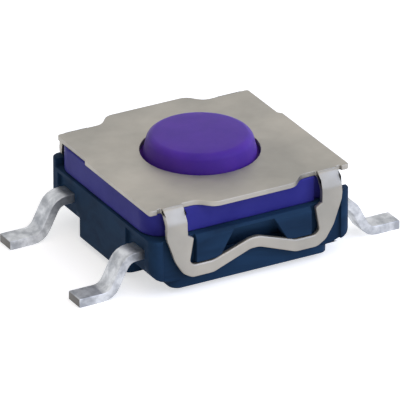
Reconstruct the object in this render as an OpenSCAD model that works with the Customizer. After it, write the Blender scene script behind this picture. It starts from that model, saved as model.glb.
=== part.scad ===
// Sealed surface mount tactile push button switch, 6.2 mm square.
// Right hand frame in millimetres: X runs along the two clip sides, Z is up,
// and the origin lies on the board under the middle of the switch.

/* [Parts] */
// Sub-part to draw

/* [Cover plate] */
// Length of the plate along X
cover_length = 6.2; // [5.6:0.05:7]
// Width of the plate along Y, over its two middle edges
cover_width = 6.2; // [5.6:0.05:7]
// Thickness of the stainless sheet
cover_thickness = 0.15; // [0.12:0.01:0.2]
// Height of the plate's top above the board
cover_top = 2.64; // [2.55:0.01:2.7]
// Radius of the hole for the button
cover_hole_radius = 1.66; // [1.62:0.01:1.75]
// Half length of the middle edge that stands out on each clip side
middle_edge_half = 1.25; // [1:0.01:1.45]
// How far the front middle edge stands out past the front corner tabs
front_edge_step = 0.31; // [0.2:0.01:0.4]
// How far the back middle edge stands out past the back corner tabs
back_edge_step = 0.42; // [0.3:0.01:0.5]
// Run of the slope at each end of the middle edge
middle_edge_run = 0.36; // [0.2:0.01:0.42]
// Rounding at both ends of that slope
middle_edge_round = 0.18; // [0.09:0.01:0.22]
// Depth of the recess beside each front leg, measured from the corner tabs
leg_recess = 0.07; // [0.02:0.01:0.15]
// Width of the relief notch between a front leg and its corner tab
relief_width = 0.14; // [0.1:0.01:0.18]
// Depth of the relief notch
relief_depth = 0.07; // [0.04:0.01:0.2]
// Y at which the long edges step in
side_step_y = 0.9; // [0.5:0.05:1.4]
// How far the long edges step in behind that place
side_step = 0.1; // [0.05:0.01:0.2]
// Corner rounding of the pressed sheet
sheet_corner = 0.09; // [0.04:0.01:0.1]

/* [Clip loops] */
// Distance from the plate's end to the outer edge of a leg
leg_inset = 0.39; // [0.35:0.01:0.45]
// Width of a leg where it leaves the plate
leg_width = 0.62; // [0.5:0.01:0.65]
// Run of the sloped shoulders along Y on the front
shoulder_run = 0.26; // [0.2:0.01:0.3]
// How far the flat root of a shoulder reaches into the plate
shoulder_root = 0.3; // [0.2:0.05:0.5]
// Drop of the sloped shoulder
shoulder_drop = 0.42; // [0.36:0.01:0.5]
// Height of the barb step on the inner edge of a leg
barb_height = 1.71; // [1.65:0.01:1.8]
// How far the barb steps inward
barb_inner_step = 0.2; // [0.1:0.01:0.3]
// How far the leg swells outward at the barb
barb_outer_step = 0.01; // [0:0.01:0.08]
// Height of the barb's upper slope
barb_slope = 0.12; // [0.05:0.01:0.15]
// Height of a leg's waist above the bar
waist_rise = 0.18; // [0.1:0.01:0.25]
// How far the waist's outer edge lies inside the top of the leg
waist_inset = 0.25; // [0.15:0.01:0.3]
// Height of the heel above the underside of the bar
heel_rise = 0.16; // [0.1:0.01:0.2]
// How far the heel lies inside the top of the leg
heel_inset = 0.5; // [0.4:0.01:0.55]
// How far the end of the bar's flat underside lies inside the top of the leg
toe_inset = 0.76; // [0.65:0.01:0.8]
// How far the leg's inner edge slants inward down to the bar
throat_step = 0.08; // [0.02:0.01:0.12]
// Size of the sloped inner corner between leg and bar
throat_corner = 0.12; // [0.05:0.01:0.15]
// Underside of the bar's low parts
bar_bottom = 0.53; // [0.5:0.01:0.6]
// Height of the bar
bar_height = 0.37; // [0.3:0.01:0.4]
// X at which the kink of the bar begins
kink_start = 1.28; // [1.1:0.01:1.32]
// Rise of the kink at the middle of the bar
kink_rise = 0.39; // [0.25:0.01:0.42]
// Half width of the kink's blunt peak
kink_peak_half = 0.14; // [0.04:0.01:0.2]
// Height of the metal in the kink's peak
kink_height = 0.33; // [0.28:0.01:0.36]

/* [Housing] */
// Length of the moulded housing along X
housing_length = 6.2; // [6.1:0.05:6.3]
// Height of the bottom face above the board
housing_lift = 0.17; // [0.1:0.01:0.2]
// Height of the rim that carries the seal
rim_height = 1.73; // [1.71:0.01:1.8]
// Height of the two corner posts
post_height = 1.95; // [1.9:0.01:2.05]
// Size of a corner post along Y
post_width = 0.35; // [0.25:0.01:0.38]
// Radius of the vertical corners
housing_corner = 0.28; // [0.16:0.01:0.32]
// Height at which the ends begin to curve in below the leads
end_curve_top = 1; // [0.95:0.01:1.03]
// Height of the knee where the ends turn in
end_knee_height = 0.64; // [0.55:0.01:0.72]
// How far the ends curve in
end_curve_run = 0.6; // [0.4:0.01:0.65]
// Height of the plinth's top above the board
plinth_top = 0.42; // [0.35:0.01:0.48]
// How far the plinth's ends lie inside the curved ends
plinth_step = 0.06; // [0.02:0.01:0.1]
// Half width of the block between the two leads of an end
end_block_half = 1.42; // [1.3:0.01:1.5]
// Width of the recess round each lead
lead_recess_width = 1.06; // [0.95:0.01:1.1]
// Depth of that recess
lead_recess_depth = 0.1; // [0.04:0.01:0.15]
// Height of the lip that covers the recess
lead_recess_lip = 0.14; // [0.08:0.01:0.2]
// Clearance between the outer edge of a leg and its groove
leg_clearance = 0.05; // [0.02:0.01:0.08]
// Gap between the tip of a barb and the end of the catch
catch_gap = 0.1; // [0.05:0.01:0.15]
// How far the catch stands out from the clip side wall
catch_depth = 0.1; // [0.06:0.01:0.15]
// Clearance between the bar and the catch above it
catch_clearance = 0.02; // [0.01:0.01:0.04]
// Height of the catch's lead-in slope
catch_slope = 0.12; // [0.08:0.01:0.3]
// Depth of the recess behind the legs and the bar
clip_recess = 0.08; // [0.04:0.01:0.15]
// Half width of the pocket's top
pocket_top_half = 0.63; // [0.5:0.01:0.7]
// Half width of the pocket where it meets the kink
pocket_bottom_half = 1.07; // [0.95:0.01:1.12]
// Height of the pocket's top
pocket_top = 1.65; // [1.6:0.01:1.7]
// Depth of the pocket at its foot
pocket_depth = 0.45; // [0.3:0.01:0.48]
// Radius of the cavity for the dome
cavity_radius = 2.15; // [2.13:0.01:2.2]
// X of the ejector pin marks under the housing
ejector_x = 1.7; // [1.5:0.05:1.9]
// Y of the ejector pin marks
ejector_y = 1.5; // [1.3:0.05:1.7]
// Radius of the ejector pin marks
ejector_radius = 0.3; // [0.2:0.01:0.35]
// Radius of the moulding gate's recess under the housing
gate_radius = 0.4; // [0.3:0.01:0.45]
// Depth of the marks and of the gate's recess
mark_depth = 0.05; // [0.02:0.01:0.08]

/* [Leads and contacts] */
// Distance between the two leads of an end
lead_pitch = 4; // [3.9:0.05:4.1]
// Width of a lead
lead_width = 0.62; // [0.5:0.01:0.7]
// Thickness of the contact strip
strip_thickness = 0.26; // [0.18:0.01:0.27]
// Height of the strip's top face inside the housing
strip_top = 1.25; // [1.22:0.01:1.3]
// Span of the leads over their tips
lead_span = 10; // [9.8:0.02:10.4]
// X of the upper bend's corner
upper_bend = 3.58; // [3.5:0.01:3.75]
// X of the lower bend's corner
lower_bend = 4.08; // [4:0.01:4.3]
// Rounding on the outside of a bend
bend_outside = 0.38; // [0.3:0.01:0.4]
// Rounding on the inside of a bend
bend_inside = 0.19; // [0.08:0.01:0.22]
// Rounding of the sheared lead tips
tip_round = 0.03; // [0.01:0.01:0.05]
// Width of the strip branches in the cavity floor
branch_width = 0.6; // [0.4:0.01:0.7]
// X of the branches that carry the dome
branch_x = 1.6; // [1.5:0.01:1.65]
// Y to which the dome's branches reach
branch_end = 1.2; // [1.1:0.01:1.3]
// Radius of the centre pad
pad_radius = 0.55; // [0.45:0.01:0.6]
// Radius of the coined centre contact
centre_contact_radius = 0.36; // [0.3:0.01:0.4]
// Radius of each coined dome rest
rest_radius = 0.18; // [0.12:0.01:0.22]
// Y of the dome rests
rest_y = 0.9; // [0.8:0.01:1]
// Height of the coined contacts
coin_height = 0.06; // [0.03:0.01:0.08]
// Radius of the anchoring holes in the strips
anchor_radius = 0.14; // [0.1:0.01:0.16]
// Distance of the anchoring holes from the housing's ends
anchor_inset = 0.4; // [0.3:0.01:0.45]

/* [Dome] */
// Radius of the snap dome
dome_radius = 2.05; // [2.03:0.01:2.1]
// Thickness of the snap dome
dome_thickness = 0.06; // [0.04:0.01:0.07]
// Rise of the dome above its rests, which is the switch's travel
dome_rise = 0.28; // [0.22:0.01:0.28]

/* [Seal] */
// Set-back of the seal's ends from the housing's ends
seal_set_back_x = 0.07; // [0.05:0.01:0.12]
// Set-back of the seal's sides from the clip side walls
seal_set_back_y = 0.2; // [0.15:0.01:0.25]
// How far the seal's notches reach in from the crest of the shoulders
seal_notch_reach = 0.18; // [0.15:0.01:0.25]
// Clearance beside the shoulders in those notches
seal_notch_clearance = 0.04; // [0.02:0.01:0.08]
// Radius of the seal's vertical corners
seal_corner = 0.72; // [0.7:0.01:0.9]
// Thickness of the seal's web
web_thickness = 0.1; // [0.08:0.01:0.12]
// Depth to which the seal's spigot enters the cavity
spigot_depth = 0.08; // [0.04:0.01:0.09]
// Clearance round the spigot
spigot_clearance = 0.03; // [0.02:0.01:0.05]
// Wall of the spigot
spigot_wall = 0.15; // [0.1:0.01:0.15]
// Clearance between the seal's lip and the button's stem
lip_clearance = 0.02; // [0.01:0.01:0.05]
// Height of the raised lip round the stem
lip_height = 0.06; // [0.03:0.01:0.08]
// Width of the raised lip
lip_width = 0.14; // [0.1:0.01:0.2]

/* [Button] */
// How far the button stands above the plate at rest
button_rise = 0.51; // [0.4:0.01:0.7]
// Radius of the button at its top
button_top_radius = 1.42; // [1.3:0.01:1.45]
// Radius of the button at the plate
button_foot_radius = 1.56; // [1.5:0.01:1.58]
// Radius of the button's rounded top edge
button_edge = 0.2; // [0.08:0.01:0.25]
// Radius of the collar under the plate
collar_radius = 1.9; // [1.8:0.01:1.93]
// Thickness of the collar
collar_thickness = 0.18; // [0.14:0.01:0.2]
// Play between the collar and the plate at rest
collar_play = 0.02; // [0.01:0.01:0.03]
// Radius of the stem
stem_radius = 0.9; // [0.8:0.01:1]
// Radius of the pusher that touches the dome
pusher_radius = 0.5; // [0.4:0.01:0.6]
// Height of the pusher
pusher_height = 0.08; // [0.05:0.01:0.1]

/* [Hidden] */
$fn = 96;
// Small overlap that lets cutters pass through a face
pass = 0.05;
// Short chords in one rounded corner
corner_steps = 4;
// Longest share of an edge that one rounded corner may take
corner_share = 0.42;

cover_under = cover_top - cover_thickness;
cover_half_x = cover_length / 2;
cover_half_y = cover_width / 2;
front_tab_y = cover_half_y - front_edge_step;
back_tab_y = cover_half_y - back_edge_step;
leg_outer = cover_half_x - leg_inset;
leg_inner = leg_outer - leg_width;
leg_outside_y = cover_half_y;
leg_inside_y = leg_outside_y - cover_thickness;
knee_z = cover_top - shoulder_drop;
loop_top = knee_z - cover_thickness;
bar_top = bar_bottom + bar_height;

housing_half_x = housing_length / 2;
// The clip side wall touches the inside of the legs
housing_half_y = leg_inside_y;
catch_bottom = bar_top + catch_clearance;
groove_inner = leg_inner - barb_inner_step - catch_gap;
groove_outer = leg_outer + leg_clearance;
catch_end = groove_inner;
post_length = housing_half_x - groove_outer;

strip_bottom = strip_top - strip_thickness;
lead_y = lead_pitch / 2;
lead_tip = lead_span / 2;
bend_angle = atan((strip_top - strip_thickness) / (lower_bend - upper_bend));
bend_shift = strip_thickness * tan(bend_angle / 2);

dome_rim_z = strip_top + coin_height;
dome_inner_sphere = (dome_radius * dome_radius + dome_rise * dome_rise) / (2 * dome_rise);
dome_top = dome_rim_z + dome_rise + dome_thickness;

spigot_outer = cavity_radius - spigot_clearance;
spigot_inner = spigot_outer - spigot_wall;
web_bottom = rim_height - spigot_depth;
web_top = web_bottom + web_thickness;
lip_radius = stem_radius + lip_clearance;

button_top = cover_top + button_rise;
collar_top = cover_under - collar_play;
collar_bottom = collar_top - collar_thickness;

// Point at a distance from one point towards another
function towards(start, goal, distance) = start + (goal - start) * distance / norm(goal - start);

// Point on the short curve that replaces a corner
function curve_point(first, corner, last, share) =
    (1 - share) * (1 - share) * first + 2 * share * (1 - share) * corner + share * share * last;

// Closed outline from corners given as [x, y, rounding]
function rounded_outline(corners) = [
    for (index = [0 : len(corners) - 1])
        let (
            before = corners[(index + len(corners) - 1) % len(corners)],
            here = corners[index],
            after = corners[(index + 1) % len(corners)],
            corner = [here[0], here[1]],
            previous = [before[0], before[1]],
            next = [after[0], after[1]],
            cut = min(here[2], corner_share * norm(corner - previous), corner_share * norm(next - corner)),
            first = towards(corner, previous, cut),
            last = towards(corner, next, cut),
            steps = cut > 0 ? corner_steps : 0
        )
        for (step = [0 : steps])
            curve_point(first, corner, last, steps > 0 ? step / steps : 0)
];

function backwards(list) = [for (index = [len(list) - 1 : -1 : 0]) list[index]];

function placed(corners, x_sign, y_sign) = [for (c = corners) [c[0] * x_sign, c[1] * y_sign, c[2]]];

// Corners of the front edge from the middle edge out to the plate's corner
front_corners = [
    [middle_edge_half, cover_half_y, middle_edge_round],
    [middle_edge_half + middle_edge_run, front_tab_y - leg_recess, middle_edge_round],
    [leg_inner, front_tab_y - leg_recess, sheet_corner / 2],
    [leg_inner, front_tab_y, 0],
    [leg_outer, front_tab_y, 0],
    [leg_outer, front_tab_y - relief_depth, relief_width / 3],
    [leg_outer + relief_width, front_tab_y - relief_depth, relief_width / 3],
    [leg_outer + relief_width, front_tab_y, sheet_corner / 2],
    [cover_half_x, front_tab_y, sheet_corner]
];

// Corners of the back edge, which is plain beside the middle edge
back_corners = [
    [middle_edge_half, cover_half_y, middle_edge_round],
    [middle_edge_half + middle_edge_run, back_tab_y, middle_edge_round],
    [cover_half_x - side_step, back_tab_y, sheet_corner]
];

module rounded_rectangle(length, width, radius) {
    translate([-length / 2 + radius, -width / 2])
        square([length - 2 * radius, width]);
    translate([-length / 2, -width / 2 + radius])
        square([length, width - 2 * radius]);
    for (x = [-1, 1], y = [-1, 1])
        translate([x * (length / 2 - radius), y * (width / 2 - radius)])
            circle(radius);
}

// Extrudes an outline in X and Z along Y, centred on Y = 0
module across(width) {
    rotate([90, 0, 0])
        linear_extrude(width, center = true)
            children();
}

// Extrudes an outline in Y and Z along X, centred on X = 0
module along(length) {
    rotate([90, 0, 90])
        linear_extrude(length, center = true)
            children();
}

module cover_outline() {
    step = [
        [cover_half_x, side_step_y, side_step / 2],
        [cover_half_x - side_step, side_step_y + side_step, side_step / 2]
    ];
    difference() {
        polygon(rounded_outline(concat(
            placed(front_corners, 1, -1),
            step,
            backwards(back_corners),
            placed(back_corners, -1, 1),
            placed(backwards(step), -1, 1),
            placed(backwards(front_corners), -1, -1)
        )));
        circle(cover_hole_radius);
    }
}

// Sheet profile in Y and Z from the plate over the shoulder to the top of the leg
module shoulder_profile(run) {
    crest_y = leg_outside_y - run;
    root_y = crest_y - shoulder_root;
    shoulder_angle = atan(shoulder_drop / run);
    polygon(rounded_outline([
        [root_y, cover_top, 0],
        [crest_y, cover_top, sheet_corner],
        [leg_outside_y, knee_z, sheet_corner],
        [leg_outside_y, loop_top, 0],
        [leg_inside_y, loop_top, 0],
        [leg_inside_y, knee_z - cover_thickness * tan((90 - shoulder_angle) / 2), sheet_corner],
        [crest_y - cover_thickness * tan(shoulder_angle / 2), cover_under, sheet_corner],
        [root_y, cover_under, 0]
    ]));
}

// Flat outline of one clip loop in X and Z
module loop_outline() {
    outside = [
        [leg_outer, loop_top, 0],
        [leg_outer + barb_outer_step, barb_height + barb_slope, sheet_corner],
        [leg_outer - waist_inset, bar_top + waist_rise, sheet_corner],
        [leg_outer - heel_inset, bar_bottom + heel_rise, sheet_corner],
        [leg_outer - toe_inset, bar_bottom, sheet_corner],
        [kink_start, bar_bottom, sheet_corner],
        [kink_peak_half, bar_top + kink_rise - kink_height, sheet_corner]
    ];
    inside = [
        [leg_inner, loop_top, 0],
        [leg_inner, barb_height + barb_slope, sheet_corner / 3],
        [leg_inner - barb_inner_step, barb_height, sheet_corner / 2],
        [leg_inner - throat_step, bar_top + throat_corner, sheet_corner],
        [leg_inner - throat_step - throat_corner, bar_top, sheet_corner],
        [kink_start, bar_top, sheet_corner],
        [kink_peak_half, bar_top + kink_rise, sheet_corner]
    ];
    polygon(rounded_outline(concat(
        outside,
        placed(backwards(outside), -1, 1),
        placed(inside, -1, 1),
        backwards(inside)
    )));
}

module clip_loop(run) {
    for (side = [-1, 1])
        translate([side * (leg_inner + leg_width / 2), 0, 0])
            along(leg_width)
                shoulder_profile(run);
    translate([0, leg_outside_y - cover_thickness / 2, 0])
        across(cover_thickness)
            loop_outline();
}

module cover() {
    color([0.70, 0.69, 0.66]) {
        translate([0, 0, cover_under])
            linear_extrude(cover_thickness)
                cover_outline();
        clip_loop(back_edge_step);
        mirror([0, 1, 0])
            clip_loop(shoulder_run);
    }
}

// End profile of the housing in X and Z, curved in below the leads
module end_profile() {
    outline = [
        [housing_half_x, rim_height, 0],
        [housing_half_x, end_knee_height, end_curve_top - end_knee_height],
        [housing_half_x - end_curve_run, plinth_top, plinth_step]
    ];
    polygon(rounded_outline(concat(outline, placed(backwards(outline), -1, 1))));
}

module housing_walls() {
    intersection() {
        across(2 * housing_half_y)
            end_profile();
        linear_extrude(rim_height)
            rounded_rectangle(2 * housing_half_x, 2 * housing_half_y, housing_corner);
    }
    translate([0, 0, housing_lift])
        linear_extrude(rim_height - housing_lift)
            rounded_rectangle(2 * housing_half_x, 2 * end_block_half, housing_corner);
    translate([0, 0, housing_lift])
        linear_extrude(plinth_top + pass - housing_lift)
            rounded_rectangle(
                2 * (housing_half_x - end_curve_run - plinth_step),
                2 * (housing_half_y - clip_recess),
                housing_corner
            );
}

module corner_posts() {
    intersection() {
        linear_extrude(post_height)
            rounded_rectangle(2 * housing_half_x, 2 * housing_half_y, housing_corner);
        for (side = [-1, 1])
            translate([
                side * (housing_half_x - post_length / 2),
                -side * (housing_half_y - post_width / 2),
                (end_curve_top + post_height) / 2
            ])
                cube([post_length, post_width, post_height - end_curve_top], center = true);
    }
}

// Two ramps of one clip side, under which the bar of the clip loop snaps
module catches() {
    wall = housing_half_y;
    along(2 * catch_end)
        polygon([
            [wall - pass, rim_height],
            [wall, rim_height],
            [wall + catch_depth, rim_height - catch_slope],
            [wall + catch_depth, catch_bottom],
            [wall - pass, catch_bottom]
        ]);
}

// Tapered pocket of one clip side, which gives the kinked bar room to flex
module pocket() {
    wall = housing_half_y;
    intersection() {
        translate([0, wall, 0])
            across(2 * pocket_depth + 1)
                polygon([
                    [-pocket_top_half, pocket_top],
                    [pocket_top_half, pocket_top],
                    [pocket_bottom_half, bar_top],
                    [-pocket_bottom_half, bar_top]
                ]);
        along(2 * pocket_bottom_half + pass)
            polygon([
                [wall + 2 * catch_depth, pocket_top],
                [wall, pocket_top],
                [wall - pocket_depth, bar_top],
                [wall + 2 * catch_depth, bar_top]
            ]);
    }
}

// Everything that is cut away on one clip side
module clip_side_cuts() {
    wall = housing_half_y;
    groove_width = groove_outer - groove_inner;
    pocket();
    translate([0, wall, catch_bottom / 2])
        cube([2 * groove_outer, 2 * clip_recess, catch_bottom], center = true);
    for (side = [-1, 1])
        translate([side * (groove_inner + groove_width / 2), wall, (rim_height + pass) / 2])
            cube([groove_width, 2 * clip_recess, rim_height + pass], center = true);
}

// Recesses in the ends, from which the leads come out
module lead_recesses() {
    recess_top = rim_height - lead_recess_lip;
    for (x = [-1, 1], y = [-1, 1])
        translate([
            x * housing_half_x,
            y * (end_block_half + lead_recess_width / 2),
            recess_top / 2
        ])
            cube([2 * lead_recess_depth, lead_recess_width, recess_top], center = true);
}

module bottom_marks() {
    translate([0, 0, housing_lift - pass])
        cylinder(h = mark_depth + pass, r = gate_radius);
    for (x = [-1, 1], y = [-1, 1])
        translate([ejector_x * x, ejector_y * y, housing_lift - pass])
            cylinder(h = mark_depth + pass, r = ejector_radius);
}

module housing() {
    color([0.10, 0.15, 0.22])
        difference() {
            union() {
                housing_walls();
                corner_posts();
                catches();
                mirror([0, 1, 0])
                    catches();
            }
            clip_side_cuts();
            mirror([0, 1, 0])
                clip_side_cuts();
            translate([0, 0, strip_top])
                cylinder(h = rim_height, r = cavity_radius);
            lead_recesses();
            bottom_marks();
            centre_strip();
            outer_strip();
        }
}

// Profile in X and Z of a strip with a gull wing lead at each end
module lead_profile() {
    upper = [
        [upper_bend, strip_top, bend_outside],
        [lower_bend, strip_thickness, bend_inside],
        [lead_tip, strip_thickness, tip_round]
    ];
    lower = [
        [lead_tip, 0, tip_round],
        [lower_bend - bend_shift, 0, bend_outside],
        [upper_bend - bend_shift, strip_bottom, bend_inside]
    ];
    half = concat(upper, lower);
    polygon(rounded_outline(concat(half, placed(backwards(half), -1, 1))));
}

module lead_strip() {
    difference() {
        across(lead_width)
            lead_profile();
        for (side = [-1, 1])
            translate([side * (housing_half_x - anchor_inset), 0, strip_bottom - pass])
                cylinder(h = strip_thickness + 2 * pass, r = anchor_radius, $fn = 32);
    }
}

module flat_branch(length) {
    translate([0, length / 2, strip_top - strip_thickness / 2])
        cube([branch_width, length, strip_thickness], center = true);
}

module centre_strip() {
    translate([0, -lead_y, 0]) {
        lead_strip();
        flat_branch(lead_y);
    }
    translate([0, 0, strip_bottom])
        cylinder(h = strip_thickness, r = pad_radius);
    translate([0, 0, strip_top - pass])
        cylinder(h = coin_height + pass, r = centre_contact_radius);
}

module outer_strip() {
    translate([0, lead_y, 0])
        lead_strip();
    for (side = [-1, 1])
        translate([side * branch_x, -branch_end, 0]) {
            flat_branch(lead_y + branch_end);
            for (y = [-rest_y, rest_y])
                translate([0, branch_end + y, strip_top - pass])
                    cylinder(h = coin_height + pass, r = rest_radius, $fn = 48);
        }
}

module contact_frame_centre() {
    color([0.80, 0.81, 0.82])
        centre_strip();
}

module contact_frame_outer() {
    color([0.80, 0.81, 0.82])
        outer_strip();
}

module dome() {
    sphere_z = dome_rim_z + dome_rise - dome_inner_sphere;
    color([0.78, 0.78, 0.76])
        rotate_extrude()
            intersection() {
                translate([0, sphere_z])
                    difference() {
                        circle(dome_inner_sphere + dome_thickness, $fn = 512);
                        circle(dome_inner_sphere, $fn = 512);
                    }
                translate([0, dome_rim_z])
                    square([dome_radius, dome_rise + 2 * dome_thickness]);
            }
}

// Notches in one side of the seal, which clear the sloped shoulders of the cover
module shoulder_notches(run) {
    notch_width = leg_width + 2 * seal_notch_clearance;
    notch_end = leg_outside_y - run - seal_notch_reach;
    for (side = [-1, 1])
        translate([side * (leg_inner + leg_width / 2) - notch_width / 2, notch_end, rim_height - pass])
            cube([notch_width, leg_outside_y - notch_end, cover_top]);
}

module seal() {
    seal_length = 2 * (housing_half_x - seal_set_back_x);
    seal_width = 2 * (housing_half_y - seal_set_back_y);
    color([0.26, 0.20, 0.52])
        difference() {
            union() {
                translate([0, 0, rim_height])
                    linear_extrude(cover_under - rim_height)
                        rounded_rectangle(seal_length, seal_width, seal_corner);
                translate([0, 0, web_bottom])
                    cylinder(h = web_thickness, r = spigot_outer);
            }
            difference() {
                translate([0, 0, web_top])
                    cylinder(h = cover_top, r = spigot_inner);
                cylinder(h = web_top + lip_height, r = lip_radius + lip_width);
            }
            cylinder(h = cover_top, r = lip_radius);
            shoulder_notches(back_edge_step);
            mirror([0, 1, 0])
                shoulder_notches(shoulder_run);
        }
}

// Half profile of the button in radius and height
module button_profile() {
    polygon([
        [0, collar_top - pass],
        [button_foot_radius, collar_top - pass],
        [button_foot_radius, cover_top],
        [button_top_radius, button_top - button_edge],
        [0, button_top - button_edge]
    ]);
    square_top = button_top_radius - button_edge;
    translate([0, button_top - button_edge - pass])
        square([square_top, button_edge + pass]);
    intersection() {
        translate([square_top, button_top - button_edge])
            circle(button_edge);
        translate([0, button_top - button_edge])
            square([button_top_radius, button_edge]);
    }
    translate([0, collar_bottom])
        square([collar_radius, collar_thickness]);
    translate([0, dome_top + pusher_height])
        square([stem_radius, collar_top - dome_top - pusher_height]);
    translate([0, dome_top])
        square([pusher_radius, pusher_height + pass]);
}

module button() {
    color([0.34, 0.25, 0.60])
        rotate_extrude()
            button_profile();
}

housing();
contact_frame_centre();
contact_frame_outer();
dome();
seal();
button();
cover();
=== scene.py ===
"""Looks of a sealed surface mount tactile push button switch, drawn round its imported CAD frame.

Every length is in metres unless a name ends in _mm. X runs along the two clip sides, Z is up,
and the origin lies on the board under the middle of the switch.
"""

import logging
import math
from dataclasses import dataclass
from enum import Enum

import bmesh
import bpy
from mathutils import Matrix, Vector


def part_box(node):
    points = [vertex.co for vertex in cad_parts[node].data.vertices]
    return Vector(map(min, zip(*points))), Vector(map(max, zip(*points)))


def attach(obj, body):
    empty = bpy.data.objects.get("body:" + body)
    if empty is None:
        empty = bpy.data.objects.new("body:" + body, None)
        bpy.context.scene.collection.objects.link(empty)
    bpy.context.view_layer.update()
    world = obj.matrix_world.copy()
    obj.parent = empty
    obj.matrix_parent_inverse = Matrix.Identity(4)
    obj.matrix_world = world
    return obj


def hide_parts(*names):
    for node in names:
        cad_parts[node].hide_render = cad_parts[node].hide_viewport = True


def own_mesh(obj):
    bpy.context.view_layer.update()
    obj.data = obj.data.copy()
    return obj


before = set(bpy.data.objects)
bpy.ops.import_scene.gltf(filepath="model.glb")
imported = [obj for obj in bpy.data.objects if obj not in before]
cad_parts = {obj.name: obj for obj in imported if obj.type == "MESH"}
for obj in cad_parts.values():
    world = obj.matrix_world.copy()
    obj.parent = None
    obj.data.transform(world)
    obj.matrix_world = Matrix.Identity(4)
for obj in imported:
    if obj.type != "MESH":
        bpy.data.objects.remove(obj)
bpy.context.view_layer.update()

MM = 0.001
LOG = logging.getLogger("tactile_switch")


class Body(Enum):
    """Rigid bodies of the switch, as the record names them."""

    BASE = "base"
    BUTTON = "button_body"


def linear(hex_colour: str) -> tuple[float, float, float, float]:
    """Turns an sRGB hex colour into a linear one.

    Args:
        hex_colour: six hex digits.

    Returns:
        Linear red, green and blue, and full opacity.
    """
    channels = []
    for start in (0, 2, 4):
        value = int(hex_colour[start:start + 2], 16) / 255
        channels.append(value / 12.92 if value <= 0.04045 else ((value + 0.055) / 1.055) ** 2.4)
    return (*channels, 1.0)


def add_node(tree: bpy.types.NodeTree, kind: str, inputs: dict | None = None, **settings) -> bpy.types.Node:
    """Adds a shader node with its settings and links.

    Args:
        tree: node tree that takes the node.
        kind: Blender's name for the node type.
        inputs: values or output sockets by input name or number.
        **settings: attributes of the node.

    Returns:
        The new node.
    """
    node = tree.nodes.new(kind)
    for name, value in settings.items():
        setattr(node, name, value)
    for name, value in (inputs or {}).items():
        if isinstance(value, bpy.types.NodeSocket):
            tree.links.new(value, node.inputs[name])
        else:
            node.inputs[name].default_value = value
    return node


def start_material(name: str) -> tuple[bpy.types.Material, bpy.types.NodeTree, bpy.types.NodeSocket]:
    """Starts a node material.

    Args:
        name: the material's name.

    Returns:
        The material, its empty node tree and the object coordinates.
    """
    material = bpy.data.materials.new(name)
    material.use_nodes = True
    tree = material.node_tree
    tree.nodes.clear()
    coordinates = add_node(tree, "ShaderNodeTexCoord")
    return material, tree, coordinates.outputs["Object"]


def close_material(material: bpy.types.Material, inputs: dict) -> bpy.types.Material:
    """Ends a material with its shader and output.

    Args:
        material: the material, with the nodes of its patterns.
        inputs: values or output sockets for the shader, by input name.

    Returns:
        The same material.
    """
    tree = material.node_tree
    shader = add_node(tree, "ShaderNodeBsdfPrincipled", inputs)
    add_node(tree, "ShaderNodeOutputMaterial", {"Surface": shader.outputs[0]})
    return material


def per_metre(feature_mm: float) -> float:
    """Returns the noise scale that draws features of a real size in millimetres."""
    return 1 / (feature_mm * MM)


def two_tone(tree: bpy.types.NodeTree, pattern: bpy.types.NodeSocket, limits: tuple[float, float],
             first: str, second: str) -> bpy.types.NodeSocket:
    """Colours a pattern with two tones that run into each other.

    Args:
        tree: the material's node tree.
        pattern: the pattern's value.
        limits: values at which the first and the second tone are reached.
        first: sRGB hex colour of the first tone.
        second: sRGB hex colour of the second tone.

    Returns:
        The colour.
    """
    tone = add_node(tree, "ShaderNodeMapRange", {
        "Value": pattern, "From Min": limits[0], "From Max": limits[1]})
    colour = add_node(tree, "ShaderNodeMix", {
        "Factor": tone.outputs["Result"], "A": linear(first), "B": linear(second)}, data_type="RGBA")
    return colour.outputs["Result"]


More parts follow.
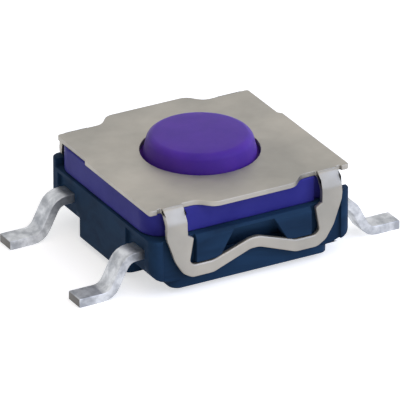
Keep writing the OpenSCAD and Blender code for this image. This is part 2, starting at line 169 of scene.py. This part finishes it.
@dataclass(frozen=True)
class SatinStainless:
    """Rolled stainless sheet with a satin face."""

    name: str = "satin_stainless_sheet"
    light: str = "B5B0A7"
    dark: str = "9E9B94"
    cloud_mm: float = 3.2
    # Shift of the tone pattern, which places painted light towards the front of the plate and painted shade
    # towards the back
    painted_light_shift: tuple[float, float, float] = (7 * MM, 11 * MM, 4 * MM)
    cloud_limits: tuple[float, float] = (0.35, 0.65)
    patch_mm: float = 0.5
    patch_limits: tuple[float, float] = (0.35, 0.65)
    shiny_roughness: float = 0.48
    matt_roughness: float = 0.58
    grain_mm: float = 0.035
    grain_stretch: tuple[float, float, float] = (0.12, 1.0, 1.0)
    grain_strength: float = 0.12
    grain_depth: float = 0.004 * MM

    def build(self) -> bpy.types.Material:
        """Builds the material.

        The eye sees a warm grey, matt sheet with a faint rolling grain, slow changes of tone, and soft
        patches of slightly more and less shine. The slow changes of tone are partly a tone that differs at
        random and partly painted light towards the front and painted shade towards the back.

        Returns:
            The material.
        """
        material, tree, place = start_material(self.name)
        # The pattern is shifted so that its light and dark areas lie about as in the photograph
        # Its light and dark areas are painted light and painted shade, laid over a tone that differs at
        # random
        shifted = add_node(tree, "ShaderNodeVectorMath", {0: place, 1: self.painted_light_shift}, operation="ADD")
        cloud = add_node(tree, "ShaderNodeTexNoise", {
            "Vector": shifted.outputs[0], "Scale": per_metre(self.cloud_mm),
            "Detail": 4, "Roughness": 0.55})
        patch = add_node(tree, "ShaderNodeTexNoise", {
            "Vector": place, "Scale": per_metre(self.patch_mm), "Detail": 3})
        rough = add_node(tree, "ShaderNodeMapRange", {
            "Value": patch.outputs["Fac"],
            "From Min": self.patch_limits[0], "From Max": self.patch_limits[1],
            "To Min": self.shiny_roughness, "To Max": self.matt_roughness})
        # Real rolling grain is about 0.01 mm wide, drawn coarser so that it shows
        rolled = add_node(tree, "ShaderNodeMapping", {"Vector": place, "Scale": self.grain_stretch})
        grain = add_node(tree, "ShaderNodeTexNoise", {
            "Vector": rolled.outputs["Vector"], "Scale": per_metre(self.grain_mm),
            "Detail": 3, "Roughness": 0.6})
        bump = add_node(tree, "ShaderNodeBump", {
            "Height": grain.outputs["Fac"], "Strength": self.grain_strength,
            "Distance": self.grain_depth})
        return close_material(material, {
            "Base Color": two_tone(tree, cloud.outputs["Fac"], self.cloud_limits, self.dark, self.light),
            "Metallic": 1.0, "Roughness": rough.outputs["Result"], "Normal": bump.outputs["Normal"]})


@dataclass(frozen=True)
class TinPlate:
    """Tin plate over copper alloy strip."""

    name: str = "tin_plate"
    plated: str = "D6D8DB"
    dull: str = "9FA2A7"
    cut_end: str = "6A6865"
    end_place: float = 4.96 * MM
    end_limits: tuple[float, float] = (0.6, 0.9)
    cloud_mm: float = 0.42
    cloud_limits: tuple[float, float] = (0.36, 0.62)
    dull_roughness: float = 0.52
    plated_roughness: float = 0.36
    grain_mm: float = 0.03
    grain_strength: float = 0.1
    grain_depth: float = 0.004 * MM

    def build(self) -> bpy.types.Material:
        """Builds the material.

        The eye sees a soft white metal with dull clouds, and dull ends.

        Returns:
            The material.
        """
        material, tree, place = start_material(self.name)
        cloud = add_node(tree, "ShaderNodeTexNoise", {
            "Vector": place, "Scale": per_metre(self.cloud_mm), "Detail": 4, "Roughness": 0.6})
        # The end faces of the tips look dull, as on strip that is cut after plating
        along = add_node(tree, "ShaderNodeSeparateXYZ", {0: place})
        reach = add_node(tree, "ShaderNodeMath", {0: along.outputs["X"]}, operation="ABSOLUTE")
        tip = add_node(tree, "ShaderNodeMath", {
            0: reach.outputs[0], 1: self.end_place}, operation="GREATER_THAN")
        facing = add_node(tree, "ShaderNodeTexCoord")
        axis = add_node(tree, "ShaderNodeSeparateXYZ", {0: facing.outputs["Normal"]})
        endways = add_node(tree, "ShaderNodeMath", {0: axis.outputs["X"]}, operation="ABSOLUTE")
        cut = add_node(tree, "ShaderNodeMapRange", {
            "Value": endways.outputs[0],
            "From Min": self.end_limits[0], "From Max": self.end_limits[1], "To Max": tip.outputs[0]})
        colour = add_node(tree, "ShaderNodeMix", {
            "Factor": cut.outputs["Result"],
            "A": two_tone(tree, cloud.outputs["Fac"], self.cloud_limits, self.dull, self.plated),
            "B": linear(self.cut_end)}, data_type="RGBA")
        rough = add_node(tree, "ShaderNodeMapRange", {
            "Value": cloud.outputs["Fac"],
            "To Min": self.dull_roughness, "To Max": self.plated_roughness})
        grain = add_node(tree, "ShaderNodeTexNoise", {
            "Vector": place, "Scale": per_metre(self.grain_mm), "Detail": 2})
        bump = add_node(tree, "ShaderNodeBump", {
            "Height": grain.outputs["Fac"], "Strength": self.grain_strength,
            "Distance": self.grain_depth})
        return close_material(material, {
            "Base Color": colour.outputs["Result"], "Metallic": 1.0,
            "Roughness": rough.outputs["Result"], "Normal": bump.outputs["Normal"]})


@dataclass(frozen=True)
class MouldedPolymer:
    """Glass filled liquid crystal polymer, moulded with a fine spark-eroded texture."""

    name: str = "moulded_liquid_crystal_polymer"
    body: str = "243F5C"
    flow: str = "1E344D"
    flow_mm: float = 0.9
    flow_stretch: tuple[float, float, float] = (0.5, 1.0, 1.6)
    flow_bend: float = 0.8
    flow_limits: tuple[float, float] = (0.35, 0.65)
    low_roughness: float = 0.47
    high_roughness: float = 0.67
    texture_mm: float = 0.04
    texture_strength: float = 0.3
    texture_depth: float = 0.008 * MM
    ior: float = 1.58
    gloss: float = 0.04

    def build(self) -> bpy.types.Material:
        """Builds the material.

        The eye sees a dark blue, matt plastic with slow flow marks.

        Returns:
            The material.
        """
        material, tree, place = start_material(self.name)
        streaming = add_node(tree, "ShaderNodeMapping", {"Vector": place, "Scale": self.flow_stretch})
        flow = add_node(tree, "ShaderNodeTexNoise", {
            "Vector": streaming.outputs["Vector"], "Scale": per_metre(self.flow_mm),
            "Detail": 3, "Distortion": self.flow_bend})
        texture = add_node(tree, "ShaderNodeTexNoise", {
            "Vector": place, "Scale": per_metre(self.texture_mm), "Detail": 3, "Roughness": 0.65})
        rough = add_node(tree, "ShaderNodeMapRange", {
            "Value": texture.outputs["Fac"],
            "To Min": self.low_roughness, "To Max": self.high_roughness})
        bump = add_node(tree, "ShaderNodeBump", {
            "Height": texture.outputs["Fac"], "Strength": self.texture_strength,
            "Distance": self.texture_depth})
        return close_material(material, {
            "Base Color": two_tone(tree, flow.outputs["Fac"], self.flow_limits, self.flow, self.body),
            "Roughness": rough.outputs["Result"], "IOR": self.ior,
            "Specular IOR Level": self.gloss, "Normal": bump.outputs["Normal"]})


@dataclass(frozen=True)
class SiliconeRubber:
    """Pigmented silicone rubber, moulded."""

    name: str
    body: str
    deep: str
    glow: float = 0.15
    glow_depth: float = 0.25 * MM
    glow_spread: tuple[float, float, float] = (0.4, 0.3, 0.9)
    gloss: float = 0.15
    ior: float = 1.43
    low_roughness: float = 0.36
    high_roughness: float = 0.5
    cloud_mm: float = 0.8
    cloud_limits: tuple[float, float] = (0.3, 0.7)
    texture_mm: float = 0.05
    texture_strength: float = 0.15
    texture_depth: float = 0.004 * MM

    def build(self) -> bpy.types.Material:
        """Builds the material.

        The eye sees a violet, slightly cloudy rubber, paler where its soft sheen lies.

        Returns:
            The material.
        """
        material, tree, place = start_material(self.name)
        cloud = add_node(tree, "ShaderNodeTexNoise", {
            "Vector": place, "Scale": per_metre(self.cloud_mm), "Detail": 3})
        texture = add_node(tree, "ShaderNodeTexNoise", {
            "Vector": place, "Scale": per_metre(self.texture_mm), "Detail": 2})
        rough = add_node(tree, "ShaderNodeMapRange", {
            "Value": texture.outputs["Fac"],
            "To Min": self.low_roughness, "To Max": self.high_roughness})
        bump = add_node(tree, "ShaderNodeBump", {
            "Height": texture.outputs["Fac"], "Strength": self.texture_strength,
            "Distance": self.texture_depth})
        return close_material(material, {
            "Base Color": two_tone(tree, cloud.outputs["Fac"], self.cloud_limits, self.deep, self.body),
            "Roughness": rough.outputs["Result"], "IOR": self.ior, "Specular IOR Level": self.gloss,
            "Subsurface Weight": self.glow, "Subsurface Radius": self.glow_spread,
            "Subsurface Scale": self.glow_depth, "Normal": bump.outputs["Normal"]})


@dataclass(frozen=True)
class SpringSteel:
    """Thin rolled stainless spring steel."""

    name: str = "rolled_spring_steel"
    metal: str = "C9C7C0"
    streak: str = "A8A69F"
    roughness: float = 0.24
    grain_mm: float = 0.04
    grain_stretch: tuple[float, float, float] = (0.06, 1.0, 1.0)
    grain_limits: tuple[float, float] = (0.0, 1.0)
    grain_strength: float = 0.1
    grain_depth: float = 0.003 * MM

    def build(self) -> bpy.types.Material:
        """Builds the material.

        The eye sees a bright disc with fine straight rolling lines.

        Returns:
            The material.
        """
        material, tree, place = start_material(self.name)
        rolled = add_node(tree, "ShaderNodeMapping", {"Vector": place, "Scale": self.grain_stretch})
        grain = add_node(tree, "ShaderNodeTexNoise", {
            "Vector": rolled.outputs["Vector"], "Scale": per_metre(self.grain_mm), "Detail": 3})
        bump = add_node(tree, "ShaderNodeBump", {
            "Height": grain.outputs["Fac"], "Strength": self.grain_strength,
            "Distance": self.grain_depth})
        return close_material(material, {
            "Base Color": two_tone(tree, grain.outputs["Fac"], self.grain_limits, self.streak, self.metal),
            "Metallic": 1.0, "Roughness": self.roughness, "Normal": bump.outputs["Normal"]})


def add_piece(name: str, mesh: bpy.types.Mesh, body: Body,
              material: bpy.types.Material) -> bpy.types.Object:
    """Adds a mesh to the scene as a piece that rides on a body.

    Args:
        name: the piece's name.
        mesh: its mesh, in the shared frame.
        body: body that it rides on.
        material: its material.

    Returns:
        The new object.
    """
    mesh.materials.append(material)
    piece = bpy.data.objects.new(name, mesh)
    bpy.context.collection.objects.link(piece)
    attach(piece, body.value)
    LOG.info("%s: %d faces on %s", name, len(mesh.polygons), body.value)
    return piece


# Points of a CAD mesh that lie this close are one point
SAME_POINT = 1e-7
# A smaller turn between two faces, in degrees, is only a facet of the same face
FACET_TURN = 0.8
# A larger turn, in degrees, is a sharp edge that is rounded over
SHARP_TURN = 27.0
# A larger turn, in degrees, stays sharp in the shading
SHADED_TURN = 40.0
# A face of at least this area is shaded flat
FLAT_AREA = 0.25 * MM * MM


def eased_mesh(node: str, radius: float, segments: int = 3, low_radius: float = 0.0,
               low_height: float = 0.0) -> bpy.types.Mesh:
    """Copies a CAD node's mesh with its sharp edges rounded over.

    Args:
        node: name of the CAD node.
        radius: reach of the rounding on each side of an edge.
        segments: faces across a rounding.
        low_radius: reach of the rounding on edges below low_height, where it differs.
        low_height: height below which low_radius holds.

    Returns:
        The new mesh.
    """
    copy = bmesh.new()
    copy.from_mesh(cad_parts[node].data)
    bmesh.ops.remove_doubles(copy, verts=copy.verts, dist=SAME_POINT)
    bmesh.ops.dissolve_limit(copy, angle_limit=math.radians(FACET_TURN), verts=copy.verts, edges=copy.edges)
    limit = math.radians(SHARP_TURN)
    sharp = [edge for edge in copy.edges if len(edge.link_faces) == 2 and edge.calc_face_angle() > limit]
    low = [edge for edge in sharp if max(end.co.z for end in edge.verts) < low_height]
    high = [edge for edge in sharp if edge not in low]
    for edges, reach in ((high, radius), (low, low_radius)):
        bmesh.ops.bevel(copy, geom=[edge for edge in edges if edge.is_valid], offset=reach,
                        segments=segments, profile=0.5, affect="EDGES", clamp_overlap=False)
    mesh = bpy.data.meshes.new(node + "_eased")
    copy.to_mesh(mesh)
    copy.free()
    # This call smooths every face, so the flat ones are set after it
    mesh.set_sharp_from_angle(angle=math.radians(SHADED_TURN))
    for face in mesh.polygons:
        face.use_smooth = face.area < FLAT_AREA
    return mesh


def lathed_mesh(name: str, outline: list[tuple[float, float]], steps: int) -> bpy.types.Mesh:
    """Turns an outline round the Z axis.

    Args:
        name: the mesh's name.
        outline: radius and height of each point, from the axis below to the axis above.
        steps: points in a full turn.

    Returns:
        The new mesh.
    """
    turned = bmesh.new()
    rings = []
    for radius, height in outline:
        if radius == 0:
            rings.append([turned.verts.new((0, 0, height))])
            continue
        angles = [2 * math.pi * step / steps for step in range(steps)]
        rings.append([
            turned.verts.new((radius * math.cos(angle), radius * math.sin(angle), height))
            for angle in angles])
    for lower, upper in zip(rings, rings[1:]):
        for step in range(steps):
            following = (step + 1) % steps
            corners = [lower[step % len(lower)], lower[following % len(lower)],
                       upper[following % len(upper)], upper[step % len(upper)]]
            # A ring on the axis is one point, which would come twice
            turned.faces.new(list(dict.fromkeys(corners)))
    bmesh.ops.recalc_face_normals(turned, faces=turned.faces)
    for face in turned.faces:
        face.smooth = True
    mesh = bpy.data.meshes.new(name)
    turned.to_mesh(mesh)
    turned.free()
    return mesh


def arc_points(centre: tuple[float, float], radius: float, start: float, end: float,
               steps: int) -> list[tuple[float, float]]:
    """Draws an arc in the half section of a turned piece.

    Args:
        centre: radius and height of the arc's centre.
        radius: the arc's radius.
        start: first angle in degrees.
        end: last angle in degrees.
        steps: chords in the arc.

    Returns:
        Radius and height of each point.
    """
    points = []
    for step in range(steps + 1):
        angle = math.radians(start + (end - start) * step / steps)
        points.append((centre[0] + radius * math.cos(angle), centre[1] + radius * math.sin(angle)))
    return points


@dataclass
class CoverPlate:
    """The pressed cover plate with its two clip loops.

    The rounding leaves faults in the mesh of the four legs, not mended: 16 edges at a height of
    about 2.0 to 2.1 mm are shared by more than two faces, and 304 pairs of neighbouring faces are
    folded over at about 2.3 to 2.7 mm. Small dark wedges show at the shoulders. They are gone when
    the cover is left unrounded.
    """

    edge_radius: float = 0.02 * MM
    leg_edge_radius: float = 0.04 * MM
    leg_top: float = 2.1 * MM

    def build(self, finish: bpy.types.Material) -> None:
        """Builds the plate with its edges rounded over, more on the legs of the loops.

        Args:
            finish: material of the sheet.
        """
        mesh = eased_mesh("cover", self.edge_radius, low_radius=self.leg_edge_radius,
                          low_height=self.leg_top)
        piece = add_piece("cover_plate", mesh, Body.BASE, finish)
        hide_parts("cover")


@dataclass
class Housing:
    """The moulded housing."""

    edge_radius: float = 0.02 * MM

    def build(self, finish: bpy.types.Material) -> None:
        """Builds the housing with its edges rounded over.

        Args:
            finish: material of the moulding.
        """
        piece = add_piece("housing_moulding", eased_mesh("housing", self.edge_radius), Body.BASE,
                          finish)
        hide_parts("housing")


@dataclass
class ContactStrips:
    """The two insert moulded contact strips with their gull wing leads."""

    edge_radius: float = 0.014 * MM
    nodes: tuple[str, str] = ("contact_frame_centre", "contact_frame_outer")

    def build(self, finish: bpy.types.Material) -> None:
        """Builds both strips with their edges rounded over.

        Args:
            finish: material of the plating.
        """
        for node in self.nodes:
            piece = add_piece(node + "_strip", eased_mesh(node, self.edge_radius), Body.BASE,
                              finish)
            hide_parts(node)


@dataclass
class SnapDome:
    """The snap dome under the button."""

    edge_radius: float = 0.012 * MM
    thickness: float = 0.06 * MM

    def build(self, finish: bpy.types.Material) -> None:
        """Builds the dome with its edges rounded over, on a mesh of its own; nothing here flattens it to
        its own thickness as the button is pressed.

        Args:
            finish: material of the spring sheet.
        """
        piece = add_piece("snap_dome", eased_mesh("dome", self.edge_radius), Body.BASE,
                          finish)
        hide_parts("dome")
        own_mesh(piece)


@dataclass
class Seal:
    """The silicone seal between plate and housing."""

    edge_radius: float = 0.05 * MM
    edge_segments: int = 4

    def build(self, finish: bpy.types.Material) -> None:
        """Builds the seal with soft edges.

        Args:
            finish: material of the rubber.
        """
        mesh = eased_mesh("seal", self.edge_radius, segments=self.edge_segments)
        piece = add_piece("seal_band", mesh, Body.BASE, finish)
        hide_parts("seal")


@dataclass
class Button:
    """The round button, with its collar, its stem and the pusher under it."""

    top_radius: float = 1.49 * MM
    foot_radius: float = 1.56 * MM
    edge: float = 0.24 * MM
    edge_angles: tuple[float, float] = (15, 84)
    edge_steps: int = 14
    crown: float = 0.02 * MM
    crown_parts: tuple[float, ...] = (0.8, 0.6, 0.4, 0.2, 0)
    rise: float = 0.51 * MM
    plate_thickness: float = 0.15 * MM
    play: float = 0.02 * MM
    collar_thickness: float = 0.18 * MM
    stem_radius: float = 0.9 * MM
    pusher_radius: float = 0.5 * MM
    pusher_height: float = 0.08 * MM
    pusher_angles: tuple[float, float] = (-60, 0)
    pusher_steps: int = 3
    soft: float = 0.04 * MM
    steps: int = 160
    shaded_turn: float = 50

    def lower_outline(self, bottom: float, plate_top: float,
                      collar_radius: float) -> list[tuple[float, float]]:
        """Draws the half section of what lies below the plate's top face.

        Args:
            bottom: height of the pusher's face.
            plate_top: height of the plate's top face.
            collar_radius: outer radius of the collar.

        Returns:
            Radius and height of each point, from the pusher's middle up.
        """
        soft = self.soft
        shoulder = bottom + self.pusher_height
        collar_top = plate_top - self.plate_thickness - self.play
        collar_bottom = collar_top - self.collar_thickness
        points = [(0, bottom), (self.pusher_radius - soft, bottom)]
        points += arc_points((self.pusher_radius - soft, bottom + soft), soft, *self.pusher_angles,
                             self.pusher_steps)
        points += [(self.pusher_radius, shoulder), (self.stem_radius - soft, shoulder),
                   (self.stem_radius, shoulder + soft), (self.stem_radius, collar_bottom)]
        points += [(collar_radius - soft, collar_bottom), (collar_radius, collar_bottom + soft),
                   (collar_radius, collar_top - soft), (collar_radius - soft, collar_top)]
        points += [(self.foot_radius + soft, collar_top), (self.foot_radius, collar_top + soft),
                   (self.foot_radius, plate_top)]
        return points

    def outline(self) -> list[tuple[float, float]]:
        """Draws the half section, from the pusher up to the top.

        Returns:
            Radius and height of each point.
        """
        low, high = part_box("button")
        top = high[2]
        points = self.lower_outline(low[2], top - self.rise, high[0])
        inner = self.top_radius - self.edge
        points += arc_points((inner, top - self.crown - self.edge), self.edge, *self.edge_angles,
                             self.edge_steps)
        points += [(inner * part, top - self.crown * part * part) for part in self.crown_parts]
        return points

    def build(self, finish: bpy.types.Material) -> None:
        """Builds the button as one turned form with a soft top edge.

        Args:
            finish: material of the rubber.
        """
        mesh = lathed_mesh("button_cap", self.outline(), self.steps)
        mesh.set_sharp_from_angle(angle=math.radians(self.shaded_turn))
        piece = add_piece("button_cap", mesh, Body.BUTTON, finish)
        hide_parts("button")


def direction(azimuth: float, elevation: float) -> Vector:
    """Finds the way from the switch to a place round it.

    Args:
        azimuth: degrees to the right of the front.
        elevation: degrees above the board.

    Returns:
        The unit vector.
    """
    turn, lift = math.radians(azimuth), math.radians(elevation)
    return Vector((math.sin(turn) * math.cos(lift), -math.cos(turn) * math.cos(lift), math.sin(lift)))


def background_rays(tree: bpy.types.NodeTree) -> bpy.types.NodeSocket:
    """Tells the rays that show the background from those that light the object.

    Args:
        tree: node tree of the background's material or world.

    Returns:
        1 for rays from the camera, through clear matter or off a shiny face, and 0 for the others.
    """
    path = add_node(tree, "ShaderNodeLightPath")
    straight = add_node(tree, "ShaderNodeMath", {
        0: path.outputs["Is Camera Ray"], 1: path.outputs["Is Transmission Ray"]}, operation="ADD")
    shown = add_node(tree, "ShaderNodeMath", {
        0: straight.outputs[0], 1: path.outputs["Is Glossy Ray"]}, operation="ADD", use_clamp=True)
    return shown.outputs[0]


@dataclass(frozen=True)
class Softbox:
    """A square softbox that points at the switch, at angles in degrees as the camera's."""

    name: str
    azimuth: float
    elevation: float
    distance: float
    size: float
    watts: float
    colour: str

    def build(self) -> None:
        """Builds the lamp."""
        data = bpy.data.lights.new(self.name, "AREA")
        data.size = self.size
        data.energy = self.watts
        data.color = linear(self.colour)[:3]
        away = direction(self.azimuth, self.elevation)
        lamp = bpy.data.objects.new(self.name, data)
        lamp.location = away * self.distance
        lamp.rotation_mode = "QUATERNION"
        lamp.rotation_quaternion = away.to_track_quat("Z", "Y")
        bpy.context.collection.objects.link(lamp)


@dataclass
class Studio:
    """Floor, lamps, world and camera."""

    azimuth: float = -29.0
    elevation: float = 26.06
    distance: float = 0.223
    lens: float = 732.6
    sensor: float = 36.0
    clip: tuple[float, float] = (0.001, 5)
    aim_height: float = 1.5 * MM
    aim_right: float = -0.001 * MM
    aim_up: float = -0.3775 * MM
    # The photograph's top looks warm and its front cool, so the two lamps differ in colour
    lamps: tuple[Softbox, ...] = (
        Softbox("overhead_softbox", -5, 62, 0.2, 0.16, 0.07, "FFE9D0"),
        Softbox("front_right_softbox", 33, 34, 0.2, 0.18, 0.17, "B4CDFF"))
    fill: str = "F4F6FA"
    fill_left: float = 0.15
    fill_right: float = 0.9
    backdrop: str = "FFFFFF"
    floor_colour: str = "F2F2F2"
    floor_roughness: float = 0.9
    floor_lift: float = 0.6
    floor_half: float = 0.6
    floor_gap: float = 0.004 * MM

    def add_camera(self) -> None:
        """Adds the camera at the photograph's angle."""
        back = direction(self.azimuth, self.elevation)
        rotation = back.to_track_quat("Z", "Y")
        aim = Vector((0, 0, self.aim_height)) + rotation @ Vector((self.aim_right, self.aim_up, 0))
        data = bpy.data.cameras.new("camera")
        data.sensor_width = self.sensor
        data.lens = self.lens
        data.clip_start, data.clip_end = self.clip
        camera = bpy.data.objects.new("camera", data)
        camera.rotation_mode = "QUATERNION"
        camera.rotation_quaternion = rotation
        camera.location = aim + back * self.distance
        bpy.context.collection.objects.link(camera)
        bpy.context.scene.camera = camera

    def add_world(self) -> None:
        """Adds a soft light, weaker from the left, that shows as white to the camera and in reflections."""
        world = bpy.data.worlds.new("studio_world")
        bpy.context.scene.world = world
        world.use_nodes = True
        tree = world.node_tree
        tree.nodes.clear()
        toward = add_node(tree, "ShaderNodeTexCoord")
        axis = add_node(tree, "ShaderNodeSeparateXYZ", {0: toward.outputs["Generated"]})
        fill = add_node(tree, "ShaderNodeMapRange", {
            "Value": axis.outputs["X"], "From Min": -1.0, "From Max": 1.0,
            "To Min": self.fill_left, "To Max": self.fill_right})
        lighting = add_node(tree, "ShaderNodeBackground", {
            "Color": linear(self.fill), "Strength": fill.outputs["Result"]})
        white = add_node(tree, "ShaderNodeBackground", {"Color": linear(self.backdrop), "Strength": 1.0})
        mixed = add_node(tree, "ShaderNodeMixShader", {
            0: background_rays(tree), 1: lighting.outputs[0], 2: white.outputs[0]})
        add_node(tree, "ShaderNodeOutputWorld", {"Surface": mixed.outputs[0]})

    def add_floor(self) -> None:
        """Adds the plain pale floor, lifted to white for the camera and for reflections."""
        half, depth = self.floor_half, -self.floor_gap
        corners = [(-half, -half, depth), (half, -half, depth), (half, half, depth), (-half, half, depth)]
        mesh = bpy.data.meshes.new("floor")
        mesh.from_pydata(corners, [], [(0, 1, 2, 3)])
        floor = bpy.data.objects.new("floor", mesh)
        bpy.context.collection.objects.link(floor)
        material, tree, _ = start_material("white_studio_floor")
        lift = add_node(tree, "ShaderNodeMath", {
            0: background_rays(tree), 1: self.floor_lift}, operation="MULTIPLY")
        mesh.materials.append(close_material(material, {
            "Base Color": linear(self.floor_colour), "Roughness": self.floor_roughness,
            "Specular IOR Level": 0.0, "Emission Color": linear(self.backdrop),
            "Emission Strength": lift.outputs[0]}))

    def build(self) -> None:
        """Builds the whole studio."""
        self.add_world()
        self.add_floor()
        for lamp in self.lamps:
            lamp.build()
        self.add_camera()
        bpy.context.scene.view_settings.view_transform = "Standard"
        LOG.info("studio: camera at %.2f, %.2f degrees", self.azimuth, self.elevation)


def main() -> None:
    """Builds the switch and its studio."""
    logging.basicConfig(level=logging.INFO, format="%(name)s: %(message)s")
    Studio().build()
    seal_rubber = SiliconeRubber(
        name="violet_silicone_seal", body="3E3D97", deep="343389", gloss=0.1)
    button_rubber = SiliconeRubber(
        name="violet_silicone_button", body="5E38A6", deep="52309A", glow=0.9, glow_depth=0.6 * MM)
    CoverPlate().build(SatinStainless().build())
    Housing().build(MouldedPolymer().build())
    ContactStrips().build(TinPlate().build())
    SnapDome().build(SpringSteel().build())
    Seal().build(seal_rubber.build())
    Button().build(button_rubber.build())


if __name__ == "__main__":
    main()
